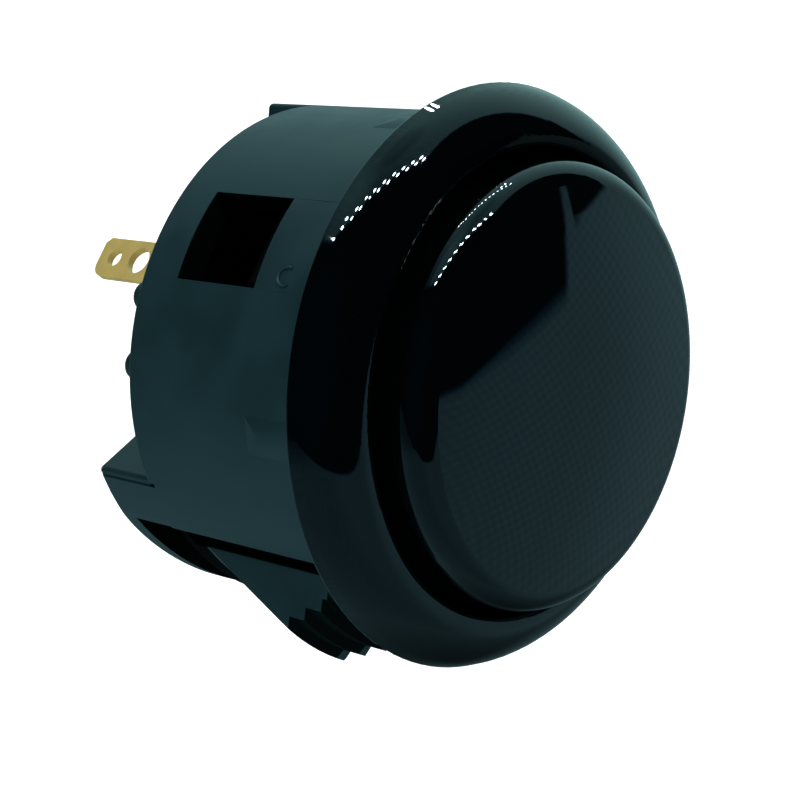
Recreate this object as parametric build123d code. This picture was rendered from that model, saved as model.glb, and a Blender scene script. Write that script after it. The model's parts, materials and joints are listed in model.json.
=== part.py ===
from build123d import *
import math
import os

# Snap-in arcade push button, in millimetres.
# +Z points out of the panel along the plunger's axis.
# The origin is the centre of the bezel's underside, the face that sits on the panel.

# Panel, barrel and bore
PANEL_HOLE_D = 30.0
PANEL_HOLE_ROOM = 0.15
BARREL_R = PANEL_HOLE_D / 2 - PANEL_HOLE_ROOM
BARREL_LENGTH = 14.0
BARREL_WALL = 1.75
BARREL_EDGE_ROUND = 0.25
BORE_R = BARREL_R - BARREL_WALL

# Bezel
BEZEL_OVERHANG = 1.75
BEZEL_R = BARREL_R + BEZEL_OVERHANG
BEZEL_HEIGHT = 2.99
BEZEL_LEAN = 20.9
BEZEL_FLANK = 0.72
BEZEL_FLANK_PULL = 1.265
BEZEL_TOP_PULL = 1.118
BEZEL_EDGE_ROUND = 0.15
BEZEL_LIP_ROUND = 0.4

# Floor across the barrel, which carries the switch
FLOOR_TOP = -12.0
FLOOR_THICKNESS = 1.6
FLOOR_LOW = FLOOR_TOP - FLOOR_THICKNESS

# Windows for the plunger's hooks, on the -X and +X sides
WINDOW_TOP = -5.17
WINDOW_HEIGHT = 6.0
WINDOW_WIDTH = 5.48

# Tails behind the barrel, on the -Y and +Y sides, each with a recess
TAIL_HALF_ANGLE = 33.3
TAIL_INNER_HALF_ANGLE = 35.6
TAIL_THICKNESS = 3.95
TAIL_INNER_R = BARREL_R - TAIL_THICKNESS
TAIL_LENGTH = 4.15
TAIL_LOW = -BARREL_LENGTH - TAIL_LENGTH
TAIL_ROUND = 0.3
TAIL_SWEEP_R = 20.0
TAIL_SWEEP_SETBACK = 0.28
SEAM_R = 0.13
SEAM_ANGLE = 1.6
SEAM_FRONT = -13.4
RECESS_DEPTH = 2.45
RECESS_R = BARREL_R - RECESS_DEPTH
RECESS_RIM = 1.2

# Snap clips: a sprung arm between two slots, with a ramp and a stair of three steps
SLOT_HALF_ANGLE = 19.15
SLOT_TOP = -1.55
ARM_HALF_ANGLE = 14.7
ARM_THICKNESS = 1.3
ARM_TOP = -2.05
HINGE_TOP = -12.6
HINGE_THICKNESS = 0.5
RAMP_START = -11.5
CREST_RISE = 2.65
CREST_R = BARREL_R + CREST_RISE
CREST_LONG_SIDE = 3.0
CREST_SHORT_SIDE = 2.3
CREST_ROUND = 0.8
STEP_TOPS = 3
STEP_Z = -4.7
STEP_PITCH = 1.15
LAST_STEP_RISE = 0.9
STEP_DROP = (CREST_RISE - LAST_STEP_RISE) / STEP_TOPS

# Crush pips that take up the play in the panel hole
PIP_ANGLE = 40.8
PIP_WIDTH = 1.8
PIP_LENGTH = 4.66
PIP_NOSE = 1.15
PIP_LENS_R = 3.2

# Round posts behind the floor, beside the switch
POST_R = 0.9
POST_LENGTH = 4.15
POST_ROUND = 0.35
POST_LOW = FLOOR_LOW - POST_LENGTH
POST_INSET = 3.7
POST_RADIUS_AT = BARREL_R - POST_INSET
POST_ANGLES = (193.0, 213.6)

# Plunger
PLUNGER_TRAVEL = 2.8
PLUNGER_RIM_GAP = 0.605
PLUNGER_R = BORE_R - PLUNGER_RIM_GAP
PLUNGER_TOP = 6.835
PLUNGER_DOME = 1.445
PLUNGER_ROUND = 1.53
PLUNGER_WALL = 1.65
PLUNGER_ROOF = 2.2
SKIRT_LOW = -4.4
GUIDE_GAP = 0.3
GUIDE_HEIGHT = 2.0
BOSS_R = 3.0
LEG_GAP = 0.6
LEG_THICKNESS = 1.6
LEG_OUTER = BORE_R - LEG_GAP
LEG_INNER = LEG_OUTER - LEG_THICKNESS
HOOK_OVERLAP = 1.0
HOOK_REACH = BORE_R + HOOK_OVERLAP
HOOK_FLAT = 0.8
HOOK_HEIGHT = 2.9
HOOK_SIDE_GAP = 0.5
STOP_GAP = 0.02

# Switch case and base
CASE_X = 13.0
CASE_Y = 11.2
CASE_TOP = -6.9
CASE_WALL = 1.2
CASE_LOW = -18.8
CASE_CORNER = 0.9
COLLAR_OVERHANG = 0.6
COLLAR_THICKNESS = 1.2
FLOOR_FIT = 0.15
LUG_REACH = 0.7
LUG_HEIGHT = 1.4
LUG_WIDTH = 4.0
BASE_THICKNESS = 1.6
PLUG_HEIGHT = 1.6
PLUG_FIT = 0.08
SPRING_POCKET_R = 2.4
SPRING_POCKET_DEPTH = 1.2

# Actuator, its ring and the contact bridge that it carries
PIN_R = 2.0
PIN_SPARE = 0.2
PIN_TOP = CASE_TOP + PLUNGER_TRAVEL + PIN_SPARE
PIN_FIT = 0.3
FLANGE_R = 3.4
FLANGE_THICKNESS = 1.5
STEM_R = 1.2
STEM_TIP = 1.0
GROOVE_R = 0.9
BRIDGE_THICKNESS = 0.5
BRIDGE_WIDTH = 2.4
BRIDGE_EYE_R = 2.2
BRIDGE_STEM_FIT = 0.15
RING_R = 2.3
RING_MOUTH = 1.5
CONTACT_R = 0.8
CONTACT_HEIGHT = 0.5

# Springs
RETURN_WIRE_R = 0.17
RETURN_COIL_R = 1.6
RETURN_PITCH = 0.94
OVERTRAVEL_WIRE_R = 0.15
OVERTRAVEL_COIL_R = 1.75
OVERTRAVEL_PITCH = 0.7

# Blade terminals
BLADE_WIDTH = 2.8
BLADE_THICKNESS = 0.5
BLADE_INSET_X = 2.1
BLADE_INSET_Y = 3.12
BLADE_X = BLADE_INSET_X - CASE_X / 2
BLADE_Y = CASE_Y / 2 - BLADE_INSET_Y
BLADE_LENGTH = 10.7
BLADE_CHAMFER = 0.4
BLADE_ROUND = 0.85
BLADE_FIT = 0.02
SMALL_HOLE_R = 0.6
SMALL_HOLE_UP = 1.45
LARGE_HOLE_R = 0.9
LARGE_HOLE_UP = 3.8
TAB_LENGTH = 2.1
TAB_END = BLADE_X + TAB_LENGTH
TAB_CONTACT_INSET = 0.95
TAB_CONTACT_X = TAB_END - TAB_CONTACT_INSET

# Levels that follow from the sizes above
CASE_ROOF = CASE_TOP - CASE_WALL
BASE_LOW = CASE_LOW - BASE_THICKNESS
BLADE_TIP = BASE_LOW - BLADE_LENGTH
PLUG_TOP = CASE_LOW + PLUG_HEIGHT
POCKET_FLOOR = PLUG_TOP - SPRING_POCKET_DEPTH
TAB_TOP = PLUG_TOP + BLADE_THICKNESS
FIXED_CONTACT_TOP = TAB_TOP + CONTACT_HEIGHT
FLANGE_LOW = CASE_ROOF - FLANGE_THICKNESS
BRIDGE_LOW = FIXED_CONTACT_TOP + PLUNGER_TRAVEL + STOP_GAP + CONTACT_HEIGHT
BRIDGE_TOP = BRIDGE_LOW + BRIDGE_THICKNESS
RING_LOW = BRIDGE_LOW - BRIDGE_THICKNESS
STEM_LOW = RING_LOW - STEM_TIP
HOOK_TOP = WINDOW_TOP - STOP_GAP
WINDOW_LOW = WINDOW_TOP - WINDOW_HEIGHT
HINGE_LOW = HINGE_TOP - HINGE_THICKNESS
OUTSIDE = BEZEL_R + BARREL_WALL
BRIDGE_ANGLE = math.degrees(math.atan2(-BLADE_Y, -TAB_CONTACT_X))
BRIDGE_REACH = math.hypot(BLADE_Y, TAB_CONTACT_X)

UPWARD = (0, 0, 1)
CENTRE = (0, 0)
SIDE_ANGLE = 90
HALF_TURN = Rot(0, 0, 180)


def rod(radius, low, high, x=0.0, y=0.0):
    """An upright cylinder between two levels."""
    sketch = Pos(x, y, low) * Circle(radius)
    return extrude(sketch, amount=high - low, dir=UPWARD)


def block(x_low, x_high, y_low, y_high, z_low, z_high):
    """A box between six limits."""
    middle = Pos((x_low + x_high) / 2, (y_low + y_high) / 2, (z_low + z_high) / 2)
    return middle * Box(x_high - x_low, y_high - y_low, z_high - z_low)


def sector(inner, outer, half_angle, low, high, inner_half_angle=None):
    """A piece of a tube about +Y, half_angle to each side; its inside may span another angle."""
    near_half = half_angle if inner_half_angle is None else inner_half_angle
    near = CenterArc(CENTRE, inner, SIDE_ANGLE - near_half, 2 * near_half)
    far = CenterArc(CENTRE, outer, SIDE_ANGLE - half_angle, 2 * half_angle)
    sides = [Line(near @ 0, far @ 0), Line(near @ 1, far @ 1)]
    outline = make_face([near, far] + sides)
    return Pos(0, 0, low) * extrude(outline, amount=high - low, dir=UPWARD)


def shell_of_housing():
    """Barrel and bezel in one turned section."""
    low = -BARREL_LENGTH
    lip_x = BORE_R + BEZEL_LIP_ROUND
    lip_z = BEZEL_HEIGHT - BEZEL_LIP_ROUND
    edge_x = BARREL_R - BARREL_EDGE_ROUND
    edge_z = low + BARREL_EDGE_ROUND
    lean = math.radians(BEZEL_LEAN)
    flank_x = BEZEL_R - BEZEL_FLANK * math.tan(lean)
    crown = Bezier(
        (flank_x, BEZEL_FLANK),
        (flank_x - BEZEL_FLANK_PULL * math.sin(lean), BEZEL_FLANK + BEZEL_FLANK_PULL * math.cos(lean)),
        (lip_x + BEZEL_TOP_PULL, BEZEL_HEIGHT),
        (lip_x, BEZEL_HEIGHT),
    )
    lip = CenterArc((lip_x, lip_z), BEZEL_LIP_ROUND, 90, 90)
    edge = CenterArc((edge_x, edge_z), BARREL_EDGE_ROUND, -90, 90)
    lines = [
        Line((BORE_R, low), (edge_x, low)),
        edge,
        Line((BARREL_R, edge_z), (BARREL_R, 0)),
        Line((BARREL_R, 0), (BEZEL_R, 0)),
        Line((BEZEL_R, 0), (flank_x, BEZEL_FLANK)),
        crown,
        lip,
        Line((BORE_R, lip_z), (BORE_R, low)),
    ]
    section = make_face(lines)
    section = fillet(section.vertices().sort_by(Axis.X)[-1], BEZEL_EDGE_ROUND)
    return revolve(Plane.XZ * section, Axis.Z)


def tail():
    """The thick foot behind the barrel on the +Y side, with rounded outer edges and a seam at each."""
    top = FLOOR_LOW + HINGE_THICKNESS
    body = sector(TAIL_INNER_R, BARREL_R, TAIL_HALF_ANGLE, TAIL_LOW, top, TAIL_INNER_HALF_ANGLE)
    end_edges = body.faces().sort_by(Axis.Z)[0].edges()
    uprights = body.edges().filter_by(Axis.Z)
    outer = uprights.filter_by(lambda edge: edge.center().Y > TAIL_INNER_R)
    body = fillet(list(end_edges) + list(outer), TAIL_ROUND)
    sweep_y = BARREL_R - TAIL_SWEEP_SETBACK - TAIL_SWEEP_R
    return body & rod(TAIL_SWEEP_R, TAIL_LOW, top, 0, sweep_y)


def seams():
    """Fine grooves of the mould beside the tail's outer edges on the +Y side."""
    cut = []
    for side in (-1, 1):
        angle = math.radians(SIDE_ANGLE + side * (TAIL_HALF_ANGLE - SEAM_ANGLE))
        place_x = BARREL_R * math.cos(angle)
        place_y = BARREL_R * math.sin(angle)
        cut.append(rod(SEAM_R, TAIL_LOW, SEAM_FRONT, place_x, place_y))
    return cut[0] + cut[1]


def clip():
    """The sprung arm on the +Y side: flush at its root, then a ramp and a stair."""
    arm_inner = BARREL_R - ARM_THICKNESS
    half_width = BARREL_R * math.sin(math.radians(ARM_HALF_ANGLE))
    shoulder = BARREL_R * math.cos(math.radians(ARM_HALF_ANGLE))
    base = (arm_inner + BARREL_R) / 2 - STOP_GAP
    arm = sector(arm_inner, BARREL_R, ARM_HALF_ANGLE, HINGE_LOW, ARM_TOP)
    stair = [(base, HINGE_TOP), (BARREL_R, HINGE_TOP), (BARREL_R, RAMP_START), (CREST_R, STEP_Z)]
    for count in range(STEP_TOPS):
        level = CREST_R - STEP_DROP * (count + 1)
        stair.append((level, STEP_Z + STEP_PITCH * count))
        stair.append((level, min(STEP_Z + STEP_PITCH * (count + 1), ARM_TOP)))
    stair.append((base, ARM_TOP))
    ramp = revolve(Plane.XZ * make_face(Polyline(*stair, close=True)), Axis.Z)
    crown = make_face(
        Polyline(
            (-half_width, base),
            (-half_width, shoulder),
            (-CREST_LONG_SIDE, CREST_R + STOP_GAP),
            (CREST_SHORT_SIDE, CREST_R + STOP_GAP),
            (half_width, shoulder),
            (half_width, base),
            close=True,
        )
    )
    crown = fillet(crown.vertices().sort_by(Axis.Y)[-2:], CREST_ROUND)
    cheeks = Pos(0, 0, HINGE_TOP) * extrude(crown, amount=ARM_TOP - HINGE_TOP, dir=UPWARD)
    return arm + (ramp & cheeks)


def pip(angle):
    """A low lens-shaped pad on the barrel, with a rounded nose at its far end, running into the bezel's underside."""
    top = PANEL_HOLE_D / 2
    root = BARREL_R - PANEL_HOLE_ROOM
    tip = (BARREL_R, -PIP_LENGTH)
    nose = (top, PIP_NOSE - PIP_LENGTH)
    side = [
        Line((root, 0), (top, 0)),
        Line((top, 0), nose),
        TangentArc(nose, tip, tangent=(0, -1)),
        Line(tip, (root, -PIP_LENGTH)),
        Line((root, -PIP_LENGTH), (root, 0)),
    ]
    pad = extrude(Plane.YZ * make_face(side), amount=PIP_WIDTH, both=True)
    pad &= rod(PIP_LENS_R, -PIP_LENGTH, 0, 0, top - PIP_LENS_R)
    return Rot(0, 0, angle - SIDE_ANGLE) * pad


def make_housing():
    shell = shell_of_housing()
    floor = rod(BORE_R + PANEL_HOLE_ROOM, FLOOR_LOW, FLOOR_TOP)
    opening_x = CASE_X / 2 + FLOOR_FIT
    opening_y = CASE_Y / 2 + FLOOR_FIT
    floor -= block(-opening_x, opening_x, -opening_y, opening_y, FLOOR_LOW, FLOOR_TOP)
    body = shell + floor
    foot = tail()
    groove = seams()
    recess = sector(RECESS_R, OUTSIDE, SLOT_HALF_ANGLE, TAIL_LOW + RECESS_RIM, HINGE_LOW)
    slot = sector(BORE_R - PANEL_HOLE_ROOM, OUTSIDE, SLOT_HALF_ANGLE, HINGE_TOP, SLOT_TOP)
    arm = clip()
    half_window = WINDOW_WIDTH / 2
    window = block(TAIL_INNER_R, OUTSIDE, -half_window, half_window, WINDOW_LOW, WINDOW_TOP)
    for turn in (Rot(0, 0, 0), HALF_TURN):
        body += turn * foot
        body -= turn * groove
        body -= turn * recess
        body -= turn * slot
        body += turn * arm
        body -= turn * window
        for angle in POST_ANGLES:
            place_x = POST_RADIUS_AT * math.cos(math.radians(angle))
            place_y = POST_RADIUS_AT * math.sin(math.radians(angle))
            post = rod(POST_R, POST_LOW, FLOOR_LOW + HINGE_THICKNESS, place_x, place_y)
            post = fillet(post.edges().group_by(Axis.Z)[0], POST_ROUND)
            body += turn * post
        for angle in (180 - PIP_ANGLE, 180 + PIP_ANGLE):
            body += turn * pip(angle)
    return body


def make_plunger():
    dome_r = (PLUNGER_R**2 + PLUNGER_DOME**2) / (2 * PLUNGER_DOME)
    shoulder = PLUNGER_TOP - PLUNGER_DOME
    spread = math.degrees(math.asin(PLUNGER_R / dome_r))
    inner = PLUNGER_R - PLUNGER_WALL
    roof = PLUNGER_TOP - PLUNGER_ROOF
    guide_r = BORE_R - GUIDE_GAP
    guide_top = SKIRT_LOW + GUIDE_HEIGHT
    lines = [
        Line((0, PLUNGER_TOP), (0, roof)),
        Line((0, roof), (inner, roof)),
        Line((inner, roof), (inner, SKIRT_LOW)),
        Line((inner, SKIRT_LOW), (guide_r, SKIRT_LOW)),
        Line((guide_r, SKIRT_LOW), (guide_r, guide_top)),
        Line((guide_r, guide_top), (PLUNGER_R, guide_top)),
        Line((PLUNGER_R, guide_top), (PLUNGER_R, shoulder)),
        CenterArc((0, PLUNGER_TOP - dome_r), dome_r, 90 - spread, spread),
    ]
    section = make_face(lines)
    rim = section.vertices().filter_by(lambda point: point.X > inner).sort_by(Axis.Y)[-1]
    section = fillet(rim, PLUNGER_ROUND)
    cap = revolve(Plane.XZ * section, Axis.Z)
    cap += rod(BOSS_R, PIN_TOP, roof)
    half_leg = WINDOW_WIDTH / 2 - HOOK_SIDE_GAP
    leg_low = HOOK_TOP - HOOK_HEIGHT
    leg = make_face(
        Polyline(
            (LEG_INNER, SKIRT_LOW + STOP_GAP),
            (LEG_OUTER, SKIRT_LOW + STOP_GAP),
            (LEG_OUTER, HOOK_TOP),
            (HOOK_REACH, HOOK_TOP),
            (HOOK_REACH, HOOK_TOP - HOOK_FLAT),
            (LEG_OUTER, leg_low),
            (LEG_INNER, leg_low),
            close=True,
        )
    )
    hook = extrude(Plane.XZ * leg, amount=half_leg, both=True)
    return cap + hook + HALF_TURN * hook


def make_switch_case():
    outline = RectangleRounded(CASE_X, CASE_Y, CASE_CORNER)
    body = Pos(0, 0, CASE_LOW) * extrude(outline, amount=CASE_TOP - CASE_LOW, dir=UPWARD)
    wide = RectangleRounded(CASE_X + 2 * COLLAR_OVERHANG, CASE_Y + 2 * COLLAR_OVERHANG, CASE_CORNER)
    body += Pos(0, 0, FLOOR_LOW - COLLAR_THICKNESS) * extrude(wide, amount=COLLAR_THICKNESS, dir=UPWARD)
    inner_x = CASE_X / 2 - CASE_WALL
    inner_y = CASE_Y / 2 - CASE_WALL
    body -= block(-inner_x, inner_x, -inner_y, inner_y, CASE_LOW, CASE_ROOF)
    body -= rod(PIN_R + PIN_FIT, CASE_ROOF, CASE_TOP)
    side = CASE_X / 2
    wedge = make_face(
        Polyline(
            (side - CASE_WALL / 2, FLOOR_TOP),
            (side + LUG_REACH, FLOOR_TOP),
            (side, FLOOR_TOP + LUG_HEIGHT),
            (side - CASE_WALL / 2, FLOOR_TOP + LUG_HEIGHT),
            close=True,
        )
    )
    lug = extrude(Plane.XZ * wedge, amount=LUG_WIDTH / 2, both=True)
    return body + lug + HALF_TURN * lug


def make_switch_base():
    outline = RectangleRounded(CASE_X, CASE_Y, CASE_CORNER)
    body = Pos(0, 0, BASE_LOW) * extrude(outline, amount=BASE_THICKNESS, dir=UPWARD)
    plug_x = CASE_X / 2 - CASE_WALL - PLUG_FIT
    plug_y = CASE_Y / 2 - CASE_WALL - PLUG_FIT
    body += block(-plug_x, plug_x, -plug_y, plug_y, CASE_LOW, PLUG_TOP)
    body -= rod(SPRING_POCKET_R, POCKET_FLOOR, PLUG_TOP)
    half_x = BLADE_THICKNESS / 2 + BLADE_FIT
    half_y = BLADE_WIDTH / 2 + BLADE_FIT
    slit = block(
        BLADE_X - half_x, BLADE_X + half_x, BLADE_Y - half_y, BLADE_Y + half_y, BASE_LOW, PLUG_TOP
    )
    return body - slit - HALF_TURN * slit


def make_terminal():
    """A flat blade with two holes, bent over into a tab that lies on the base's plug."""
    low_y = BLADE_Y - BLADE_WIDTH / 2
    high_y = BLADE_Y + BLADE_WIDTH / 2
    near_x = BLADE_X - BLADE_THICKNESS / 2
    far_x = BLADE_X + BLADE_THICKNESS / 2
    outline = make_face(
        Polyline(
            (low_y, TAB_TOP),
            (low_y, BLADE_TIP),
            (high_y - BLADE_CHAMFER, BLADE_TIP),
            (high_y, BLADE_TIP + BLADE_CHAMFER),
            (high_y, TAB_TOP),
            close=True,
        )
    )
    corner = outline.vertices().filter_by(lambda point: point.X < BLADE_Y).sort_by(Axis.Y)[0]
    outline = fillet(corner, BLADE_ROUND)
    outline -= Pos(BLADE_Y, BLADE_TIP + SMALL_HOLE_UP) * Circle(SMALL_HOLE_R)
    outline -= Pos(BLADE_Y, BLADE_TIP + LARGE_HOLE_UP) * Circle(LARGE_HOLE_R)
    blade = Pos(near_x, 0, 0) * extrude(Plane.YZ * outline, amount=BLADE_THICKNESS)
    return blade + block(far_x, TAB_END, low_y, high_y, PLUG_TOP, TAB_TOP)


def make_actuator():
    body = rod(PIN_R, CASE_ROOF, PIN_TOP - STOP_GAP)
    body += rod(FLANGE_R, FLANGE_LOW, CASE_ROOF - STOP_GAP)
    body += rod(PIN_R, FLANGE_LOW, CASE_ROOF)
    body += rod(STEM_R, STEM_LOW, FLANGE_LOW)
    groove = rod(STEM_R, RING_LOW, BRIDGE_LOW) - rod(GROOVE_R, RING_LOW, BRIDGE_LOW)
    return body - groove


def make_contact_bridge():
    half_length = BRIDGE_REACH + CONTACT_R
    bar = RectangleRounded(2 * half_length, BRIDGE_WIDTH, BRIDGE_WIDTH / 4)
    bar += Circle(BRIDGE_EYE_R)
    bar -= Circle(STEM_R + BRIDGE_STEM_FIT)
    strip = Pos(0, 0, BRIDGE_LOW) * extrude(bar, amount=BRIDGE_THICKNESS, dir=UPWARD)
    return Rot(0, 0, BRIDGE_ANGLE) * strip


def make_retaining_ring():
    ring = Circle(RING_R) - Circle(GROOVE_R)
    ring -= Pos(RING_R, 0) * Rectangle(2 * RING_R, RING_MOUTH)
    return Pos(0, 0, RING_LOW) * extrude(ring, amount=BRIDGE_LOW - RING_LOW, dir=UPWARD)


def coil(wire_r, coil_r, pitch, low, high):
    """A round wire wound between two flat seats."""
    rise = high - low - 2 * wire_r
    path = Helix(pitch, rise, coil_r)
    section = Plane(origin=path @ 0, z_dir=path % 0) * Circle(wire_r)
    return Pos(0, 0, low + wire_r) * sweep(section, path=path, is_frenet=True)


def main():
    terminal = make_terminal()
    fixed = rod(CONTACT_R, TAB_TOP, FIXED_CONTACT_TOP, TAB_CONTACT_X, BLADE_Y)
    moving_low = BRIDGE_LOW - CONTACT_HEIGHT
    moving = rod(CONTACT_R, moving_low, BRIDGE_LOW, TAB_CONTACT_X, BLADE_Y)
    pieces = {
        "housing": make_housing(),
        "plunger": make_plunger(),
        "switch_case": make_switch_case(),
        "switch_base": make_switch_base(),
        "terminal_left": terminal,
        "terminal_right": HALF_TURN * terminal,
        "fixed_contact_left": fixed,
        "fixed_contact_right": HALF_TURN * fixed,
        "actuator": make_actuator(),
        "contact_bridge": make_contact_bridge(),
        "bridge_contact_left": moving,
        "bridge_contact_right": HALF_TURN * moving,
        "retaining_ring": make_retaining_ring(),
        "return_spring": coil(RETURN_WIRE_R, RETURN_COIL_R, RETURN_PITCH, POCKET_FLOOR, RING_LOW),
        "overtravel_spring": coil(
            OVERTRAVEL_WIRE_R, OVERTRAVEL_COIL_R, OVERTRAVEL_PITCH, BRIDGE_TOP, FLANGE_LOW
        ),
    }
    os.makedirs("parts", exist_ok=True)
    for name, shape in pieces.items():
        export_step(shape, f"parts/{name}.step")


main()
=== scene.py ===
"""Snap-in arcade push button: the finishes of its pieces, a light box and the photograph's camera."""

import json
import math
from typing import NamedTuple

import bmesh
import bpy
from bpy.props import FloatProperty, FloatVectorProperty, IntProperty, PointerProperty
from mathutils import Matrix, Vector


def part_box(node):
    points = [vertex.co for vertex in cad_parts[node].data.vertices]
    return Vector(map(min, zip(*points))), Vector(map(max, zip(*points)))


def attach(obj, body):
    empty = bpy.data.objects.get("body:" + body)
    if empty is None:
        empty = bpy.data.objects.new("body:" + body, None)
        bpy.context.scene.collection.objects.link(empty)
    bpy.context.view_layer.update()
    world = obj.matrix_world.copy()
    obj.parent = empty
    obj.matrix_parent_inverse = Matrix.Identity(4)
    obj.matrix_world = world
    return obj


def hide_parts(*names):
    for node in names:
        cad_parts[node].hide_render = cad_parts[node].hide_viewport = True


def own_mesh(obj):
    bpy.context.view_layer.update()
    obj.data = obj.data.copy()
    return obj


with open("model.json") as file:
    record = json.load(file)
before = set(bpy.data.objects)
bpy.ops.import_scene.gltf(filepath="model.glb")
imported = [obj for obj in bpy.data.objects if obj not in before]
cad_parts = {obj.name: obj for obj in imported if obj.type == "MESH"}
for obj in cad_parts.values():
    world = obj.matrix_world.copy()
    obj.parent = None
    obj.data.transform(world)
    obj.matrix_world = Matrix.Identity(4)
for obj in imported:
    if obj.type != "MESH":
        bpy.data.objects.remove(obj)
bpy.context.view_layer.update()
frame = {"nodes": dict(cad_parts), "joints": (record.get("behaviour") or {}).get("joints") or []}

bl_info = {
    "name": "Arcade Push Button",
    "version": (1, 0, 0),
    "blender": (4, 5, 0),
    "location": "View3D > Sidebar > Push Button",
    "description": "Finishes a snap-in arcade push button and lights it in a soft light box",
    "category": "Object",
}

MILLIMETRE = 0.001


def millimetres(*values):
    """Lengths given in millimetres, in the scene's metres."""
    return tuple(value * MILLIMETRE for value in values)


def direction(azimuth, elevation):
    """Unit vector at an azimuth from +X and an elevation, in degrees."""
    around, up = math.radians(azimuth), math.radians(elevation)
    return Vector((math.cos(up) * math.cos(around), math.cos(up) * math.sin(around), math.sin(up)))


# What the frame gives: the level of the terminals' tips, and how far the actuator is pressed in
TERMINAL_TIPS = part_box("terminal_left")[0].z
PRESS_START, PRESS_END = next(j["range_m"] for j in frame["joints"] if j["name"] == "actuator_slide")
SPRING_CLEARANCE = 0.01 * MILLIMETRE
SPRING_TRAVEL = PRESS_END - PRESS_START + SPRING_CLEARANCE

# Edges of the housing's finishes and of its painted shade along the axis, each a pair of lengths over which
# one fades into another
BEZEL_LEVEL = millimetres(-0.03, 0.01)
BORE_TOP = millimetres(2.2, 2.7)
BARREL_END = millimetres(-13.95, -13.8)
RECESS_BACK = millimetres(-16.99, -16.97)
RECESS_FRONT = millimetres(-11.7, -11.6)
STEPS_BACK = millimetres(-4.76, -4.72)

# Such edges out from the axis
RECESS_REACH = millimetres(11.5, 11.6)
STEPS_REACH = millimetres(15.4, 15.6)
LIP_REACH = millimetres(13.9, 14.2)

# Such edges out from the bore's and the barrel's radius
BORE_MARGIN = millimetres(0.04, 0.1)
WALL_MARGIN = millimetres(-0.06, -0.03)

# Such edges across the recesses, along the lip and square to the steps' slanted cheeks
RECESS_HALF_WIDTH = millimetres(4.84, 4.88)
LIP_SIDE = millimetres(4.0, 8.0)
STEPS_CHEEK = millimetres(9.38, 9.43)

# How the cheeks slant, as shares of the ways across and along, and how strong the painted shade on the
# steps is
CHEEK_SLANT = (0.91, 0.42)
STEPS_SHADE = 0.9

# Edge of the plunger's polished cap, along the axis
SKIRT_LEVEL = millimetres(-2.4, 1.6)

# Gloss of the plastics: all over, on the shaded side of the bezel's lip and in hollows
PLASTIC_GLOSS = 0.5
LIP_GLOSS = 0.08
HOLLOW_GLOSS = 0.05
HOLLOW_ROUGHNESS = 0.85

# Noise in the finishes: features to a metre, detail, and the values between which most of it lies
HOUSING_CLOUD = 260.0
HOUSING_GRAIN = 9000.0
CAP_CLOUD = 150.0
CAP_HAIRS = 2400.0
PLASTIC_CLOUD = 420.0
PLASTIC_GRAIN = 7000.0
METAL_CLOUD = 700.0
BRASS_LINES = 9000.0
SILVER_LINES = 9000.0
WIRE_LINES = 8000.0
CLOUD_DETAIL = 3.0
GRAIN_DETAIL = 2.0
GRAIN_ROUGHNESS = 0.6
LINE_ROUGHNESS = 0.65
NOISE_RANGE = (0.3, 0.7)
POLISH_RANGE = (0.35, 0.7)
TARNISH_RANGE = (0.35, 0.72)

# Stretch of the lines in rolled brass and in metals with an even face
BRASS_STRETCH = (1.0, 1.0, 0.4)
EVEN_STRETCH = (1.0, 1.0, 1.0)

# How far the finishes vary: shares of the colour, and spread of the roughness
BARREL_TONES = (0.85, 1.15)
CAP_TONES = (0.9, 1.1)
PLASTIC_TONES = (0.85, 1.12)
TARNISH_TONE = 0.9
BARREL_SPREAD = 0.04
POLISH_SPREAD = 0.01
PLASTIC_SPREAD = 0.06
METAL_SPREAD = 0.03

# Relief of the finishes: depth and strength
BARREL_RELIEF = (0.004 * MILLIMETRE, 0.5)
PLASTIC_RELIEF = (0.006 * MILLIMETRE, 0.6)
POLISH_RELIEF = (0.0004 * MILLIMETRE, 0.3)

# Keeps the facets of a curved face from showing where lamps graze it
SHADE_OFFSET = 0.25

# Section of the mould's ridges, as shares of half their width and of their height, with a sunk foot
RIDGE_SECTION = ((-1.0, -4.0), (-0.6, 0.6), (0.0, 1.0), (0.6, 0.6), (1.0, -4.0))

# Share of the section that a ridge has left at its ends, and the gap from a witness line to what it runs to
RIDGE_TAPER = 0.25
LINE_GAP = 0.01 * MILLIMETRE

# Turns of the windows' middles about the axis
WINDOW_TURNS = (0.0, math.pi)

# Sweep of a round mark to either side, and the step between its points, in degrees
MARK_SWEEP = 125
MARK_STEP = 10

# Distances from the button between which the floor grows white to the camera
FLOOR_FADE = (0.25, 1.0)

# The near strip of diodes: where it starts, the step to the next diode and the way between its two lenses
NEAR_STRIP = Vector((-0.1061, 0.0277, -0.0019))
NEAR_STEP = Vector((0.00567, 0.00543, 0.00518))
NEAR_PAIR = Vector((0.0032, 0.0, 0.006))

# The far strip and the few diodes at the box's end: start, step, and size beside the near diodes
FAR_STRIP = Vector((-0.0682, 0.0632, -0.0512))
FAR_STEP = Vector((0.0025, 0.00034, 0.00263))
FAR_SIZE = 0.45
END_STRIP = Vector((-0.0244, 0.0658, -0.0159))
END_STEP = Vector((0.0032, 0.0006, -0.0006))
END_SIZE = 0.5
END_DIODES = 2

# Soft lamps: where each hangs and its share of the power
SOFT_LAMPS = (
    (Vector((0.0, 0.25, 0.55)), 1.0),
    (Vector((-0.35, -0.45, 0.27)), 1.6),
    (Vector((0.45, -0.3, 0.35)), 1.0),
)
SOFT_LAMP_SIZE = 0.5
SOFT_LAMP_AIM = Vector((0.0, 0.0, -0.02))

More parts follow.
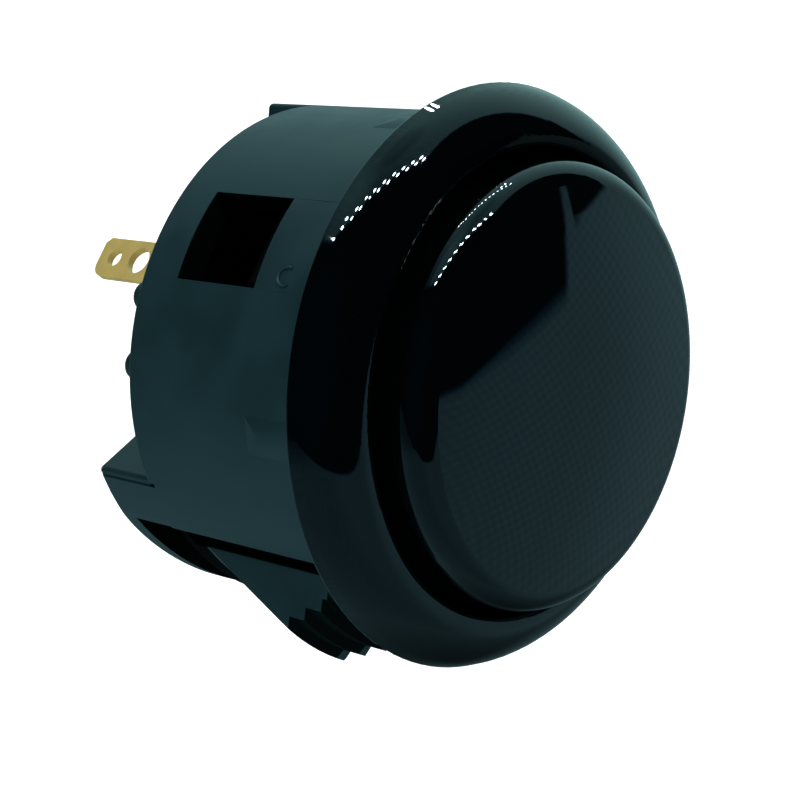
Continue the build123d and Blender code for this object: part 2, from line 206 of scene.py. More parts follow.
# The photograph's camera
CAMERA_PLACE = Vector((-0.081705, -0.032034, 0.069236))
CAMERA_RIGHT = Vector((0.54768, 0.3784, 0.74623))
CAMERA_DOWN = Vector((0.44095, -0.88851, 0.12692))
CAMERA_AHEAD = Vector((0.71106, 0.25954, -0.65347))
CAMERA_LENS = 89.0
CAMERA_SENSOR = 36.0
CAMERA_CLIP = (0.005, 20.0)


def strip_side():
    """The side of the near strip on which the light box is open."""
    across = NEAR_STRIP.cross(NEAR_STEP).normalized()
    return -across if across.dot(CAMERA_AHEAD) > 0 else across


class Patch(NamedTuple):
    """A part of the light box: the way it lies, and the cosines between which it comes in."""

    way: Vector
    start: float
    end: float


AHEAD_OF_PANEL = direction(0.0, 90.0)
OVER_STRIP = direction(200.1, 47.9)

# The box's open side: its edges, a hole beside it, and the lit wedge and dark tongue between the two
STRIP_EDGE = Patch(strip_side(), -0.015, 0.02)
TOP_EDGE = Patch(OVER_STRIP, -0.012, 0.012)
LEFT_EDGE = Patch(direction(254.0, 0.0), -0.03, 0.03)
LOW_EDGE = Patch(direction(143.5, 18.5), -0.012, 0.012)
NEAR_EDGE = Patch(direction(144.4, 8.0), -0.195, -0.14)
NEAR_SIDE = Patch(direction(30.0, 0.0), 0.1, 0.3)
HOLE = Patch(direction(79.2, 44.8), 0.869, 0.889)
WEDGE_EDGE = Patch(direction(-135.0, 52.5), -0.002, 0.006)
WEDGE_FOOT = Patch(OVER_STRIP, -0.012, 0.004)
TONGUE_EDGE = Patch(direction(132.8, 0.0), -0.004, 0.006)
TONGUE_FOOT = Patch(direction(43.0, 28.0).cross(direction(58.0, 21.0)).normalized(), -0.006, 0.01)
TONGUE_END = Patch(direction(-28.0, 0.0), -0.02, 0.02)
DUSK = Patch(direction(-155.0, 20.0), 0.7, 1.0)

# The box's bright side, which fades ahead of the panel, is dark in one corner and brightest in another
ROOF = Patch(direction(90.0, -8.0), 0.25, 0.85)
ROOF_FADE = Patch(AHEAD_OF_PANEL, -0.15, 0.4)
ROOF_FADE_LEVELS = (1.1, 0.7)
DARK_CORNER = Patch(direction(122.0, 0.0), 0.97, 0.997)
DARK_CORNER_SHARE = 0.4
BRIGHT_CORNER = Patch(direction(158.0, -5.0), 0.9, 0.99)
BRIGHT_CORNER_SHARE = 0.8

# The box's other walls, and where they are dim or shaded
FRONT_WALL = Patch(direction(18.0, 38.0), 0.82, 0.99)
CEILING = Patch(AHEAD_OF_PANEL, 0.5, 0.85)
BACK_WALL = Patch(AHEAD_OF_PANEL, -1.0, 0.0)
SIDE_WALL = Patch(direction(-100.0, 0.0), 0.2, 1.0)
FAR_WALLS_SHARE = 0.8
DIM_EDGE = Patch(direction(-36.5, 0.0), -0.02, 0.2)
DIM_LEVEL = 0.35
SHADED_FOOT = Patch(direction(-18.0, -15.0), 0.75, 1.0)
SHADED_LEVEL = 0.14
UNDER_ROOF = Patch(direction(60.0, 0.0), 0.1, 0.7)

# The walls' cloth: the ways its threads lie, how close they are and how far their light varies
WARP_WAY = direction(108.0, 0.0)
WARP_PITCH = 310.0
WEFT_WAY = direction(198.0, 52.0)
WEFT_PITCH = 200.0
CLOTH_LEVELS = (0.88, 1.12)

WHITE = (1.0, 1.0, 1.0)


def colour(name, description, default):
    """A colour setting."""
    return FloatVectorProperty(
        name=name, description=description, subtype="COLOR", size=3, min=0.0, max=1.0, default=default
    )


def length(name, description, default):
    """A length setting, in metres."""
    return FloatProperty(
        name=name, description=description, unit="LENGTH", default=default, precision=5
    )


def share(name, description, default):
    """A setting between none and all."""
    return FloatProperty(
        name=name, description=description, subtype="FACTOR", min=0.0, max=1.0, default=default
    )


def level(name, description, default):
    """A setting for an amount of light."""
    return FloatProperty(name=name, description=description, min=0.0, default=default)


def count(name, description, default):
    """A setting for a number of like things."""
    return IntProperty(name=name, description=description, min=1, default=default)


class HousingFinish(bpy.types.PropertyGroup):
    """Finish of the one-piece housing."""

    bezel_colour: colour("Bezel", "Polished black of the bezel", (0.0002, 0.0004, 0.0005))
    barrel_colour: colour("Barrel", "Satin black of the barrel and clips", (0.003, 0.0165, 0.0195))
    # Painted shade: near-black colour for the bore, cut edges, recesses and the clips' steps, where shade
    # falls
    shade_colour: colour("Hollows", "Unlit black inside the barrel", (0.0004, 0.0005, 0.0006))
    sheen_tint: colour("Reflection tint", "Cool cast of the reflections", (0.67, 0.88, 1.0))
    bezel_roughness: share("Bezel roughness", "How far the bezel blurs reflections", 0.03)
    barrel_roughness: share("Barrel roughness", "How far the barrel blurs reflections", 0.42)
    barrel_radius: length("Barrel radius", "Outside of the barrel", 14.85 * MILLIMETRE)
    bore_radius: length("Bore radius", "Inside of the barrel", 13.1 * MILLIMETRE)
    window_top: length("Window top", "Front edge of the windows, along the axis", -5.17 * MILLIMETRE)
    window_width: length("Window width", "Width of the windows", 5.48 * MILLIMETRE)
    line_width: length("Witness width", "Width of the mould's witness lines", 0.1 * MILLIMETRE)
    line_height: length("Witness height", "How far the lines stand proud", 0.02 * MILLIMETRE)
    mark_radius: length("Mark radius", "Radius of the mould's round mark", 0.52 * MILLIMETRE)
    mark_level: length("Mark level", "Centre of the mark, along the axis", -3.1 * MILLIMETRE)
    mark_width: length("Mark width", "Width of the mark's ridge", 0.24 * MILLIMETRE)
    mark_height: length("Mark height", "How far the mark stands proud", 0.16 * MILLIMETRE)
    mark_turn: FloatProperty(
        name="Mark turn",
        description="Turn about the axis from a window's middle to its mark",
        subtype="ANGLE",
        default=math.radians(7.4),
    )


class PlungerFinish(bpy.types.PropertyGroup):
    """Finish of the plunger."""

    cap_colour: colour("Cap", "Polished black of the cap", (0.0002, 0.0004, 0.0005))
    skirt_colour: colour("Skirt", "Unlit black inside the barrel", (0.0004, 0.0005, 0.0006))
    sheen_tint: colour("Reflection tint", "Cool cast of the reflections", (0.67, 0.88, 1.0))
    cap_roughness: share("Cap roughness", "How far the cap blurs reflections", 0.028)
    skirt_roughness: share("Skirt roughness", "How far the skirt blurs reflections", 0.75)


class SwitchFinish(bpy.types.PropertyGroup):
    """Finish of the switch behind the housing."""

    case_colour: colour("Case", "Matt black of the switch case", (0.006, 0.0065, 0.007))
    case_roughness: share("Case roughness", "How far the case blurs reflections", 0.5)
    base_colour: colour("Base", "Matt black of the switch base", (0.009, 0.0095, 0.01))
    base_roughness: share("Base roughness", "How far the base blurs reflections", 0.55)
    pin_colour: colour("Pin", "Natural white of the actuator", (0.72, 0.7, 0.64))
    pin_roughness: share("Pin roughness", "How far the actuator blurs reflections", 0.45)
    brass_colour: colour("Brass", "Brass of the terminals and bridge", (0.78, 0.585, 0.178))
    brass_roughness: share("Brass roughness", "How far the brass blurs reflections", 0.32)
    brass_shine: share("Brass shine", "How far the brass is bare metal, under its tarnish", 0.6)
    silver_colour: colour("Silver", "Face of the contact buttons", (0.86, 0.85, 0.82))
    silver_roughness: share("Silver roughness", "How far the silver blurs reflections", 0.25)
    steel_colour: colour("Steel", "Drawn spring wire", (0.58, 0.57, 0.55))
    steel_roughness: share("Steel roughness", "How far the wire blurs reflections", 0.3)
    travel: length("Travel", "How far the return spring shortens", SPRING_TRAVEL)


class StageSettings(bpy.types.PropertyGroup):
    """Floor, light box and lamps."""

    floor_drop: length("Floor drop", "Height of the terminals' tips over the floor", 0.07)
    floor_size: length("Floor size", "Side of the square floor", 6.0)
    floor_colour: colour("Floor", "Pale floor", (0.9, 0.9, 0.9))
    floor_lift: level("Floor lift", "White that the camera sees over the floor's own shade", 0.4)
    wall_level: level("Walls", "Light of the box's walls", 0.27)
    roof_level: level("Roof", "More light from the box's bright side", 0.43)
    front_level: level("Front", "More light from the wall that faces the camera", 0.14)
    ceiling_level: level("Ceiling", "More light from straight ahead of the panel", 0.09)
    back_level: level("Back", "More light from behind the panel", 0.1)
    opening_level: level("Opening", "Light that comes in at the box's open side", 0.014)
    dusk_level: level("Dusk", "Faint light past the box's open side", 0.04)
    wall_tint: colour("Wall tint", "Cool cast of the walls in polished faces", (0.5, 0.91, 1.0))
    roof_tint: colour("Roof tint", "Cool cast of the bright side in polished faces", (0.55, 1.0, 0.99))
    dusk_tint: colour("Dusk tint", "Blue cast of the dusk in polished faces", (0.18, 0.65, 1.0))
    lamp_power: FloatProperty(
        name="Soft lamps", description="Power of a soft lamp", unit="POWER", min=0.0, default=2.0
    )
    near_diodes: count("Near diodes", "Bright diodes in the near strip", 11)
    far_diodes: count("Far diodes", "Small diodes in the far strip", 19)
    diode_level: level("Diode level", "Radiance of one diode", 155.0)
    diode_radius: length("Diode radius", "Radius of one diode's lens", 1.3 * MILLIMETRE)


class Graph:
    """A small helper that adds and joins nodes of one tree."""

    def __init__(self, tree):
        self.tree = tree
        tree.nodes.clear()

    def add(self, kind, **settings):
        """Adds a node with its settings."""
        node = self.tree.nodes.new(kind)
        for key, value in settings.items():
            setattr(node, key, value)
        return node

    def feed(self, value, socket):
        """Links an output, or sets a constant on the socket."""
        if isinstance(value, bpy.types.NodeSocket):
            self.tree.links.new(value, socket)
        elif isinstance(value, tuple) and len(value) < len(socket.default_value):
            socket.default_value = (*value, 1.0)
        else:
            socket.default_value = value

    def math(self, operation, *values):
        """Works out one step with numbers."""
        node = self.add("ShaderNodeMath", operation=operation)
        for value, socket in zip(values, node.inputs):
            self.feed(value, socket)
        return node.outputs[0]

    def chain(self, operation, first, *others):
        """Works out the same step over several numbers."""
        for other in others:
            first = self.math(operation, first, other)
        return first

    def all_of(self, *masks):
        """A mask that is on where all of several masks are."""
        return self.chain("MULTIPLY", *masks)

    def any_of(self, *masks):
        """A mask that is on where any of several masks is."""
        return self.chain("MAXIMUM", *masks)

    def outside(self, mask):
        """A mask that is on where another is off."""
        return self.math("SUBTRACT", 1.0, mask)

    def span(self, value, low, high, start=0.0, end=1.0, smooth=True):
        """Maps low..high to start..end and holds the ends."""
        curve = "SMOOTHSTEP" if smooth else "LINEAR"
        node = self.add("ShaderNodeMapRange", clamp=True, interpolation_type=curve)
        self.feed(value, node.inputs["Value"])
        self.feed(low, node.inputs["From Min"])
        self.feed(high, node.inputs["From Max"])
        self.feed(start, node.inputs["To Min"])
        self.feed(end, node.inputs["To Max"])
        return node.outputs["Result"]

    def above(self, value, edge):
        """A mask that comes in over an edge."""
        return self.span(value, *edge)

    def below(self, value, edge):
        """A mask that goes out over an edge."""
        return self.span(value, *edge, 1.0, 0.0)

    def blend(self, share_of, first, second, how="MIX"):
        """Mixes two colours."""
        node = self.add("ShaderNodeMix", data_type="RGBA", blend_type=how)
        self.feed(share_of, node.inputs[0])
        self.feed(first, node.inputs[6])
        self.feed(second, node.inputs[7])
        return node.outputs[2]

    def mix(self, share_of, first, second):
        """Mixes two numbers."""
        node = self.add("ShaderNodeMix", data_type="FLOAT")
        self.feed(share_of, node.inputs[0])
        self.feed(first, node.inputs[2])
        self.feed(second, node.inputs[3])
        return node.outputs[0]

    def axes(self, where):
        """The three coordinates of a place."""
        node = self.add("ShaderNodeSeparateXYZ")
        self.feed(where, node.inputs[0])
        return tuple(node.outputs)

    def size(self, where):
        """The distance of a place from the origin."""
        node = self.add("ShaderNodeVectorMath", operation="LENGTH")
        self.feed(where, node.inputs[0])
        return node.outputs["Value"]

    def reach(self, across, along):
        """The distance of a place from the axis."""
        flat = self.add("ShaderNodeCombineXYZ")
        self.feed(across, flat.inputs[0])
        self.feed(along, flat.inputs[1])
        return self.size(flat.outputs[0])

    def noise(self, where, scale, detail, roughness=0.5):
        """Noise with so many features to a metre."""
        node = self.add("ShaderNodeTexNoise")
        self.feed(where, node.inputs["Vector"])
        self.feed(scale, node.inputs["Scale"])
        self.feed(detail, node.inputs["Detail"])
        self.feed(roughness, node.inputs["Roughness"])
        return node.outputs[0]

    def spread(self, noise, middle, reach, limits=NOISE_RANGE):
        """Lets noise vary a number about its middle."""
        return self.span(noise, *limits, middle - reach, middle + reach)

    def toned(self, noise, tone, tones):
        """Lets noise darken and lighten a colour."""
        return self.blend(1.0, tone, self.span(noise, *NOISE_RANGE, *tones), "MULTIPLY")

    def bump(self, height, depth, strength):
        """Relief of a given depth."""
        node = self.add("ShaderNodeBump")
        self.feed(height, node.inputs["Height"])
        self.feed(depth, node.inputs["Distance"])
        self.feed(strength, node.inputs["Strength"])
        return node.outputs["Normal"]

    def choose(self, share_of, first, second):
        """Mixes two shaders."""
        node = self.add("ShaderNodeMixShader")
        for value, socket in zip((share_of, first, second), node.inputs):
            self.feed(value, socket)
        return node.outputs[0]


def new_finish(name):
    """A material with an empty graph, its Principled shader and its object coordinates."""
    material = bpy.data.materials.new(name)
    material.use_nodes = True
    graph = Graph(material.node_tree)
    shader = graph.add("ShaderNodeBsdfPrincipled")
    output = graph.add("ShaderNodeOutputMaterial")
    graph.feed(shader.outputs[0], output.inputs["Surface"])
    where = graph.add("ShaderNodeTexCoord").outputs["Object"]
    return material, graph, shader, where


def housing_shade_mask(graph, settings, place, bezel):
    """A mask of the housing's unlit places, which get painted shade: its bore, cut edges, recesses and the
    clips' steps.
    """
    across, along, height, reach = place
    aside = graph.math("ABSOLUTE", across)
    behind = graph.outside(bezel)
    ahead = graph.above(height, BARREL_END)
    bore_edge = [settings.bore_radius + margin for margin in BORE_MARGIN]
    bore = graph.all_of(graph.below(reach, bore_edge), graph.below(height, BORE_TOP), ahead)
    wall_edge = [settings.barrel_radius + margin for margin in WALL_MARGIN]
    wall = graph.all_of(graph.below(reach, wall_edge), ahead, behind)
    recess = graph.all_of(
        graph.below(aside, RECESS_HALF_WIDTH),
        graph.above(reach, RECESS_REACH),
        graph.above(height, RECESS_BACK),
        graph.below(height, RECESS_FRONT),
    )
    slant_across, slant_along = CHEEK_SLANT
    cheek = graph.math(
        "ADD",
        graph.math("MULTIPLY", aside, slant_across),
        graph.math("MULTIPLY", graph.math("ABSOLUTE", along), slant_along),
    )
    # Painted shade on the clips' steps, which face away from the light under the bezel
    steps = graph.all_of(
        graph.span(cheek, *STEPS_CHEEK, STEPS_SHADE, 0.0),
        graph.above(reach, STEPS_REACH),
        graph.above(height, STEPS_BACK),
        behind,
    )
    return graph.any_of(bore, wall, recess, steps)


def polished_and_satin(settings):
    """The housing's plastic: polished on the bezel, satin behind it, and with shade painted near-black in
    its unlit hollows and on the clips' steps.
    """
    material, graph, shader, where = new_finish("housing_plastic")
    across, along, height = graph.axes(where)
    reach = graph.reach(across, along)
    bezel = graph.above(height, BEZEL_LEVEL)
    painted_shade = housing_shade_mask(graph, settings, (across, along, height, reach), bezel)
    lip = graph.all_of(graph.below(reach, LIP_REACH), graph.above(along, LIP_SIDE), bezel)
    cloud = graph.noise(where, HOUSING_CLOUD, CLOUD_DETAIL)
    grain = graph.noise(where, HOUSING_GRAIN, GRAIN_DETAIL, GRAIN_ROUGHNESS)
    satin = graph.toned(cloud, tuple(settings.barrel_colour), BARREL_TONES)
    skin = graph.blend(bezel, satin, tuple(settings.bezel_colour))
    # Painted shade: near-black colour in the housing's hollows and on the clips' steps
    skin = graph.blend(painted_shade, skin, tuple(settings.shade_colour))
    graph.feed(skin, shader.inputs["Base Color"])
    satin_blur = graph.spread(cloud, settings.barrel_roughness, BARREL_SPREAD)
    polish_blur = graph.spread(cloud, settings.bezel_roughness, POLISH_SPREAD, POLISH_RANGE)
    blur = graph.mix(bezel, satin_blur, polish_blur)
    graph.feed(graph.mix(painted_shade, blur, HOLLOW_ROUGHNESS), shader.inputs["Roughness"])
    gloss = graph.mix(lip, PLASTIC_GLOSS, LIP_GLOSS)
    graph.feed(graph.mix(painted_shade, gloss, HOLLOW_GLOSS), shader.inputs["Specular IOR Level"])
    relief = graph.math("MULTIPLY", grain, graph.outside(bezel))
    graph.feed(graph.bump(relief, *BARREL_RELIEF), shader.inputs["Normal"])
    graph.feed(tuple(settings.sheen_tint), shader.inputs["Specular Tint"])
    return material


def polished_cap(settings):
    """The plunger's plastic: polished cap, unlit skirt."""
    material, graph, shader, where = new_finish("plunger_plastic")
    height = graph.axes(where)[2]
    skirt = graph.below(height, SKIRT_LEVEL)
    cloud = graph.noise(where, CAP_CLOUD, CLOUD_DETAIL)
    hairs = graph.noise(where, CAP_HAIRS, GRAIN_DETAIL)
    cap = graph.toned(cloud, tuple(settings.cap_colour), CAP_TONES)
    graph.feed(graph.blend(skirt, cap, tuple(settings.skirt_colour)), shader.inputs["Base Color"])
    blur = graph.spread(cloud, settings.cap_roughness, POLISH_SPREAD, POLISH_RANGE)
    graph.feed(graph.mix(skirt, blur, settings.skirt_roughness), shader.inputs["Roughness"])
    graph.feed(graph.mix(skirt, PLASTIC_GLOSS, HOLLOW_GLOSS), shader.inputs["Specular IOR Level"])
    graph.feed(graph.bump(hairs, *POLISH_RELIEF), shader.inputs["Normal"])
    graph.feed(tuple(settings.sheen_tint), shader.inputs["Specular Tint"])
    return material


def matt_plastic(name, tone, roughness):
    """Moulded plastic with a fine spark-eroded grain."""
    material, graph, shader, where = new_finish(name)
    cloud = graph.noise(where, PLASTIC_CLOUD, CLOUD_DETAIL)
    grain = graph.noise(where, PLASTIC_GRAIN, GRAIN_DETAIL, GRAIN_ROUGHNESS)
    graph.feed(graph.toned(cloud, tuple(tone), PLASTIC_TONES), shader.inputs["Base Color"])
    graph.feed(graph.spread(cloud, roughness, PLASTIC_SPREAD), shader.inputs["Roughness"])
    graph.feed(graph.bump(grain, *PLASTIC_RELIEF), shader.inputs["Normal"])
    return material


def stamped_metal(name, tone, roughness, line_scale, stretch=EVEN_STRETCH, shine=1.0):
    """Rolled or drawn metal with fine lines and a little tarnish."""
    material, graph, shader, where = new_finish(name)
    drawn = graph.add("ShaderNodeMapping")
    graph.feed(where, drawn.inputs["Vector"])
    graph.feed(stretch, drawn.inputs["Scale"])
    lines = graph.noise(drawn.outputs[0], line_scale, CLOUD_DETAIL, LINE_ROUGHNESS)
    cloud = graph.noise(where, METAL_CLOUD, CLOUD_DETAIL)
    dull = tuple(TARNISH_TONE * part for part in tone)
    bare = graph.blend(graph.above(cloud, TARNISH_RANGE), tuple(tone), dull)
    graph.feed(bare, shader.inputs["Base Color"])
    graph.feed(graph.spread(lines, roughness, METAL_SPREAD), shader.inputs["Roughness"])
    graph.feed(graph.bump(lines, *POLISH_RELIEF), shader.inputs["Normal"])
    graph.feed(shine, shader.inputs["Metallic"])
    return material


def dress(node, material):
    """Gives a CAD node its finish."""
    solid = frame["nodes"][node]
    solid.cycles.shadow_terminator_geometry_offset = SHADE_OFFSET
    solid.data.materials.clear()
    solid.data.materials.append(material)


def show(name, data):
    """Puts an object into the scene."""
    thing = bpy.data.objects.new(name, data)
    bpy.context.scene.collection.objects.link(thing)
    return thing


def ridge_on_barrel(bm, path, radius, width, height):
    """A low rounded ridge that follows points given as (angle, level) on the barrel."""
    last = len(path) - 1
    rows = []
    for index, (angle, rise) in enumerate(path):
        before, after = path[max(index - 1, 0)], path[min(index + 1, last)]
        along = Vector(((after[0] - before[0]) * radius, after[1] - before[1])).normalized()
        taper = RIDGE_TAPER if index in (0, last) else 1.0
        across = Vector((-along.y, along.x)) * taper * width / 2
        row = []
        for side, lift in RIDGE_SECTION:
            turn = angle + across.x * side / radius
            out = radius + height * lift * (taper if lift > 0 else 1.0)
            place = (math.cos(turn) * out, math.sin(turn) * out, rise + across.y * side)
            row.append(bm.verts.new(place))
        rows.append(row)
    for first, second in zip(rows, rows[1:]):
        for one in range(len(first)):
            two = (one + 1) % len(first)
            bm.faces.new((first[one], first[two], second[two], second[one]))
    bm.faces.new(rows[0])
    bm.faces.new(list(reversed(rows[-1])))


def window_lines(settings):
    """Paths of the witness lines that run from the windows' corners to the bezel."""
    half_turn = math.asin(settings.window_width / 2 / settings.barrel_radius)
    top = settings.window_top
    levels = (top + LINE_GAP, top * 2 / 3, top / 3, -LINE_GAP)
    return [
        [(middle + side * half_turn, line_level) for line_level in levels]
        for middle in WINDOW_TURNS
        for side in (-1.0, 1.0)
    ]


def mould_marks(settings):
    """Paths of the mould's round marks beside the windows, each an open ring."""
    radius = settings.mark_radius
    turns = [math.radians(turn) for turn in range(-MARK_SWEEP, MARK_SWEEP + 1, MARK_STEP)]
    paths = []
    for middle in WINDOW_TURNS:
        centre = middle + settings.mark_turn
        paths.append([
            (
                centre + radius * math.sin(turn) / settings.barrel_radius,
                settings.mark_level - radius * math.cos(turn),
            )
            for turn in turns
        ])
    return paths


class ARCADEBUTTON_OT_housing(bpy.types.Operator):
    """Finish the housing and add the mould's fine lines to its barrel"""

    bl_idname = "arcadebutton.housing"
    bl_label = "Housing"

    def execute(self, context):
        settings = context.scene.arcade_housing
        material = polished_and_satin(settings)
        dress("housing", material)
        radius = settings.barrel_radius
        bm = bmesh.new()
        for path in window_lines(settings):
            ridge_on_barrel(bm, path, radius, settings.line_width, settings.line_height)
        for path in mould_marks(settings):
            ridge_on_barrel(bm, path, radius, settings.mark_width, settings.mark_height)
        bmesh.ops.recalc_face_normals(bm, faces=bm.faces)
        mesh = bpy.data.meshes.new("witness_lines")
        bm.to_mesh(mesh)
        bm.free()
        mesh.materials.append(material)
        lines = show("witness_lines", mesh)
        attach(lines, "housing_body")
        return {"FINISHED"}


class ARCADEBUTTON_OT_plunger(bpy.types.Operator):
    """Finish the plunger"""

    bl_idname = "arcadebutton.plunger"
    bl_label = "Plunger"

    def execute(self, context):
        dress("plunger", polished_cap(context.scene.arcade_plunger))
        return {"FINISHED"}


class ARCADEBUTTON_OT_switch(bpy.types.Operator):
    """Finish the switch's case, base and actuator"""

    bl_idname = "arcadebutton.switch"
    bl_label = "Switch"

    def execute(self, context):
        settings = context.scene.arcade_switch
        case = matt_plastic("switch_plastic", settings.case_colour, settings.case_roughness)
        base = matt_plastic("base_plastic", settings.base_colour, settings.base_roughness)
        pin = matt_plastic("actuator_plastic", settings.pin_colour, settings.pin_roughness)
        dress("switch_case", case)
        dress("switch_base", base)
        dress("actuator", pin)
        return {"FINISHED"}


class ARCADEBUTTON_OT_contacts(bpy.types.Operator):
    """Finish the terminals, the contact bridge and the contact buttons"""

    bl_idname = "arcadebutton.contacts"
    bl_label = "Contacts"

    def execute(self, context):
        settings = context.scene.arcade_switch
        brass = stamped_metal(
            "terminal_brass",
            settings.brass_colour,
            settings.brass_roughness,
            BRASS_LINES,
            BRASS_STRETCH,
            settings.brass_shine,
        )
        silver = stamped_metal(
            "contact_silver", settings.silver_colour, settings.silver_roughness, SILVER_LINES
        )
        for node in ("terminal_left", "terminal_right", "contact_bridge"):
            dress(node, brass)
        for side in ("left", "right"):
            dress(f"fixed_contact_{side}", silver)
            dress(f"bridge_contact_{side}", silver)
        return {"FINISHED"}


class ARCADEBUTTON_OT_springs(bpy.types.Operator):
    """Finish the springs and the retaining ring, and put a copy of the return spring in its place"""

    bl_idname = "arcadebutton.springs"
    bl_label = "Springs"

    def execute(self, context):
        settings = context.scene.arcade_switch
        steel = stamped_metal(
            "spring_steel", settings.steel_colour, settings.steel_roughness, WIRE_LINES
        )
        for node in ("return_spring", "overtravel_spring", "retaining_ring"):
            dress(node, steel)
        solid = frame["nodes"]["return_spring"]
        coil = show("return_spring_coil", solid.data.copy())
        coil.matrix_world = solid.matrix_world.copy()
        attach(coil, "housing_body")
        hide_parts("return_spring")
        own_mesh(coil)
        return {"FINISHED"}


def white_paper(settings):
    """The floor's paper: white to the camera apart from the button's shadow, and clear from below."""
    material = bpy.data.materials.new("studio_floor")
    material.use_nodes = True
    graph = Graph(material.node_tree)
    output = graph.add("ShaderNodeOutputMaterial")
    paper = graph.add("ShaderNodeBsdfDiffuse")
    graph.feed(tuple(settings.floor_colour), paper.inputs["Color"])
    glow = graph.add("ShaderNodeEmission")
    away = graph.size(graph.add("ShaderNodeTexCoord").outputs["Object"])
    graph.feed(graph.span(away, *FLOOR_FADE, settings.floor_lift, 1.0), glow.inputs["Strength"])
    lifted = graph.add("ShaderNodeAddShader")
    graph.feed(paper.outputs[0], lifted.inputs[0])
    graph.feed(glow.outputs[0], lifted.inputs[1])
    camera_ray = graph.add("ShaderNodeLightPath").outputs["Is Camera Ray"]
    seen = graph.choose(camera_ray, paper.outputs[0], lifted.outputs[0])
    from_below = graph.add("ShaderNodeNewGeometry").outputs["Backfacing"]
    clear = graph.add("ShaderNodeBsdfTransparent").outputs[0]
    surface = graph.choose(graph.all_of(from_below, camera_ray), seen, clear)
    graph.feed(surface, output.inputs["Surface"])
    return material


def lay_floor(settings):
    """A wide pale floor under the button, which polished surfaces don't mirror."""
    half = settings.floor_size / 2
    height = TERMINAL_TIPS - settings.floor_drop
    bm = bmesh.new()
    corners = ((-half, -half), (half, -half), (half, half), (-half, half))
    bm.faces.new([bm.verts.new((*corner, height)) for corner in corners])
    mesh = bpy.data.meshes.new("studio_floor")
    bm.to_mesh(mesh)
    bm.free()
    mesh.materials.append(white_paper(settings))
    floor = show("studio_floor", mesh)
    floor.visible_glossy = False


class BoxGraph(Graph):
    """The light box's nodes, which go by the direction of a ray."""

    def __init__(self, tree):
        super().__init__(tree)
        self.towards = self.add("ShaderNodeTexCoord").outputs["Generated"]

    def facing(self, way):
        """The cosine between a ray and a way."""
        node = self.add("ShaderNodeVectorMath", operation="DOT_PRODUCT")
        self.feed(self.towards, node.inputs[0])
        self.feed(way, node.inputs[1])
        return node.outputs["Value"]

    def patch(self, patch, outside=0.0, inside=1.0, smooth=True):
        """One value outside a patch of the box and another inside it."""
        return self.span(self.facing(patch.way), patch.start, patch.end, outside, inside, smooth)

    def threads(self, way, pitch):
        """A wave across threads that lie side by side along a way."""
        return self.math("SINE", self.math("MULTIPLY", self.facing(way), pitch))


def box_opening(graph):
    """A mask of the box's open side."""
    near = graph.all_of(graph.patch(NEAR_EDGE), graph.patch(NEAR_SIDE))
    low = graph.any_of(graph.patch(LOW_EDGE), near)
    no_wedge = graph.outside(graph.all_of(graph.patch(WEDGE_EDGE), graph.patch(WEDGE_FOOT, 1.0, 0.0)))
    hole = graph.all_of(graph.patch(HOLE), no_wedge)
    middle = graph.all_of(graph.patch(STRIP_EDGE), graph.patch(TOP_EDGE))
    opening = graph.all_of(graph.any_of(middle, hole, graph.patch(LEFT_EDGE)), low)
    tongue = graph.all_of(
        graph.patch(TONGUE_EDGE), graph.patch(TONGUE_FOOT), graph.patch(TONGUE_END), no_wedge
    )
    return graph.any_of(opening, tongue)


def box_roof(graph, settings):
    """Light of the box's bright side."""
    bright = settings.roof_level
    roof = graph.all_of(graph.patch(ROOF, 0.0, bright), graph.patch(ROOF_FADE, *ROOF_FADE_LEVELS))
    roof = graph.math("SUBTRACT", roof, graph.patch(DARK_CORNER, 0.0, DARK_CORNER_SHARE * bright))
    return graph.math("ADD", roof, graph.patch(BRIGHT_CORNER, 0.0, BRIGHT_CORNER_SHARE * bright))


def box_walls(graph, settings):
    """Light of the box's other walls."""
    far_level = FAR_WALLS_SHARE * settings.wall_level
    walls = graph.chain(
        "ADD",
        graph.patch(SIDE_WALL, far_level, settings.wall_level),
        graph.patch(BACK_WALL, settings.back_level, 0.0, smooth=False),
        graph.patch(FRONT_WALL, 0.0, settings.front_level),
        graph.patch(CEILING, 0.0, settings.ceiling_level),
    )
    shaded = graph.patch(SHADED_FOOT, 1.0, SHADED_LEVEL, smooth=False)
    walls = graph.all_of(walls, graph.patch(DIM_EDGE, DIM_LEVEL, 1.0), shaded)
    return graph.any_of(walls, graph.patch(UNDER_ROOF, 0.0, far_level))


def light_box(settings):
    """The world as a light box of white cloth whose open side, towards the camera, is dark."""
    world = bpy.data.worlds.new("light_box")
    bpy.context.scene.world = world
    world.use_nodes = True
    graph = BoxGraph(world.node_tree)
    output = graph.add("ShaderNodeOutputWorld")
    opening = box_opening(graph)
    roof = box_roof(graph, settings)
    weave = graph.all_of(graph.threads(WARP_WAY, WARP_PITCH), graph.threads(WEFT_WAY, WEFT_PITCH))
    cloth = graph.span(weave, -1.0, 1.0, *CLOTH_LEVELS, smooth=False)
    walls = graph.all_of(graph.math("ADD", box_walls(graph, settings), roof), cloth)
    dusk = graph.patch(DUSK, settings.opening_level, settings.dusk_level)
    in_roof = graph.span(roof, 0.0, settings.roof_level)
    tint = graph.blend(in_roof, tuple(settings.wall_tint), tuple(settings.roof_tint))
    tint = graph.blend(opening, tint, tuple(settings.dusk_tint))
    rays = graph.add("ShaderNodeLightPath").outputs
    box = graph.add("ShaderNodeBackground")
    graph.feed(graph.blend(rays["Is Glossy Ray"], WHITE, tint), box.inputs["Color"])
    graph.feed(graph.mix(opening, walls, dusk), box.inputs["Strength"])
    backdrop = graph.add("ShaderNodeBackground")
    graph.feed(WHITE, backdrop.inputs["Color"])
    seen = graph.choose(rays["Is Camera Ray"], box.outputs[0], backdrop.outputs[0])
    graph.feed(seen, output.inputs["Surface"])


